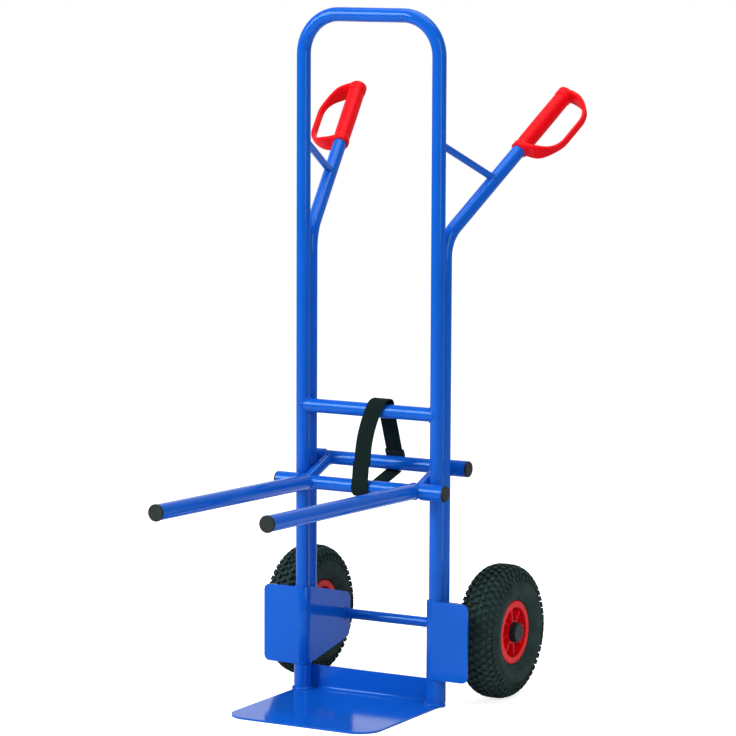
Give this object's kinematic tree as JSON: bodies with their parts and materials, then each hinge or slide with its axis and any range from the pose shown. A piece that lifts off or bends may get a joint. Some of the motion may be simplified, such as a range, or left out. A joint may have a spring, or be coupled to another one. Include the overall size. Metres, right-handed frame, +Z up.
{
  "type": "hand truck",
  "caption": "Tall tube-frame hand truck on pneumatic wheels, with safety grips, a folded toe plate and a sliding carriage of forward arms for lifting stacked chairs.",
  "frame": {"origin": "on the floor, midway between the feet of the two uprights, on the toe plate's underside", "axes": "+Z up; -Y forward, the way the toe plate and arms point; +X to the right of someone looking at the front"},
  "size_m": [0.6028, 0.9569, 1.327],
  "materials": {
    "blue_paint": "high gloss enamel",
    "grip_plastic": "satin moulded",
    "rim_plastic": "glossy moulded",
    "tyre_rubber": "matt rubber with a block tread",
    "tube_rubber": "matt",
    "black_plastic": "satin moulded",
    "zinc_steel": "zinc plated",
    "webbing": "woven webbing"
  },
  "bodies": {
    "frame": {"u_frame": "blue_paint", "upper_crossbar": "blue_paint", "handle_tube_left": "blue_paint", "handle_tube_right": "blue_paint", "brace_rod_left": "blue_paint", "brace_rod_right": "blue_paint", "grip_left": "grip_plastic", "grip_right": "grip_plastic", "toe_plate": "blue_paint", "foot_sleeve_left": "blue_paint", "foot_sleeve_right": "blue_paint", "wheel_bracket_left": "blue_paint", "wheel_bracket_right": "blue_paint", "axle": "blue_paint", "axle_spacer_left": "zinc_steel", "axle_spacer_right": "zinc_steel", "axle_washers": "zinc_steel", "axle_clips": "zinc_steel", "strap_loop": "webbing"},
    "wheel_left": {"tyre_left": "tyre_rubber", "inner_tube_left": "tube_rubber", "rim_left": "rim_plastic", "bearing_sleeve_left": "zinc_steel", "valve_stem_left": "black_plastic", "hub_cap_left": "black_plastic"},
    "wheel_right": {"tyre_right": "tyre_rubber", "inner_tube_right": "tube_rubber", "rim_right": "rim_plastic", "bearing_sleeve_right": "zinc_steel", "valve_stem_right": "black_plastic", "hub_cap_right": "black_plastic"},
    "slider": {"rear_cross_tube": "blue_paint", "rear_clamp_sleeves": "blue_paint", "rear_tube_plugs": "black_plastic", "strap_keeper": "black_plastic"},
    "arm_fork": {"front_cross_tube": "blue_paint", "front_clamp_sleeves": "blue_paint", "front_tube_plugs": "black_plastic", "link_tube_left": "blue_paint", "link_tube_right": "blue_paint", "arm_left": "blue_paint", "arm_right": "blue_paint", "arm_plugs": "black_plastic"}
  },
  "joints": [
    {"name": "wheel_left_spin", "type": "hinge", "parent": "frame", "child": "wheel_left", "pos_m": [-0.2135, 0.141, 0.13], "axis": [1, 0, 0], "continuous": true},
    {"name": "wheel_right_spin", "type": "hinge", "parent": "frame", "child": "wheel_right", "pos_m": [0.2135, 0.141, 0.13], "axis": [1, 0, 0], "continuous": true},
    {"name": "carriage_slide", "type": "slide", "parent": "frame", "child": "slider", "axis": [0, 0, 1], "range_m": [0, 0.09], "deforming": ["strap_loop"]},
    {"name": "arm_tilt", "type": "hinge", "parent": "slider", "child": "arm_fork", "pos_m": [0, 0.0605, 0.4535], "axis": [-1, 0, 0], "range_deg": [0, 12]}
  ]
}
